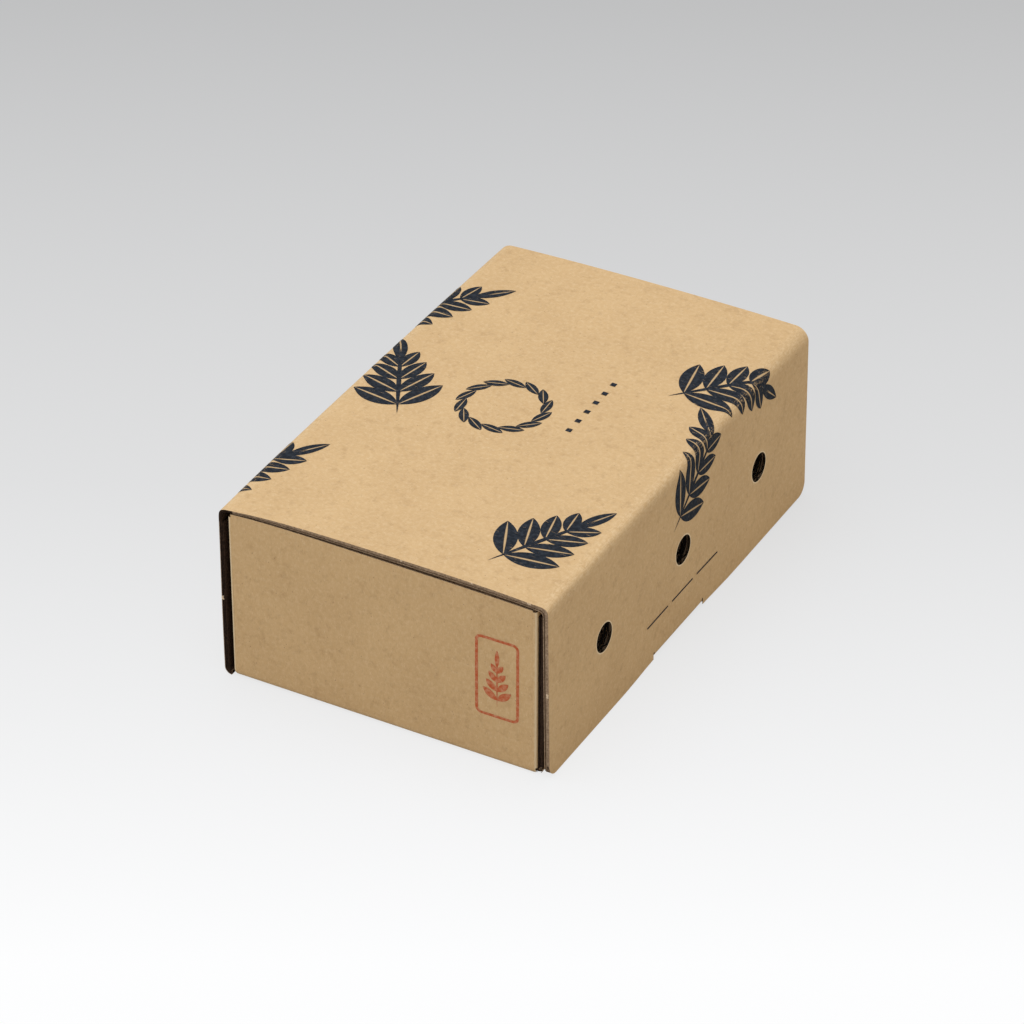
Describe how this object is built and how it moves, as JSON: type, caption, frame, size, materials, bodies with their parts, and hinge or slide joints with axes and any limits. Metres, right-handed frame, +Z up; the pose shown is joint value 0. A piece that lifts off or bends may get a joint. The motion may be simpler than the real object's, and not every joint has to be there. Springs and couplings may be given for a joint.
{
  "type": "corrugated carton with hinged lid",
  "caption": "Low corrugated carton with air holes, a lid hinged along one long side and a closure flap that locks at the foot.",
  "frame": {"origin": "on the floor under the middle of the carton", "axes": "+X towards the closure flap, +Y along the carton away from its front end wall, +Z up"},
  "size_m": [0.1602, 0.2501, 0.0891],
  "materials": {
    "board": "matte brown kraft liner over fluted board",
    "dark_ink": "matte dark slate ink with fine scratches",
    "red_ink": "matte brick red ink"
  },
  "bodies": {
    "tray": {"tray": "board", "wall_print": "dark_ink", "front_stamp": "red_ink"},
    "lid": {"lid": "board", "lid_print": "dark_ink"},
    "closure_flap": {"closure_flap": "board", "flap_print": "dark_ink"}
  },
  "joints": [
    {"name": "lid_hinge", "type": "hinge", "parent": "tray", "child": "lid", "pos_m": [-0.07809, 0, 0.08709], "axis": [0, -1, 0], "range_deg": [0, 180]},
    {"name": "flap_hinge", "type": "hinge", "parent": "lid", "child": "closure_flap", "pos_m": [0.07809, 0, 0.08709], "axis": [0, -1, 0], "range_deg": [0, 180]}
  ]
}
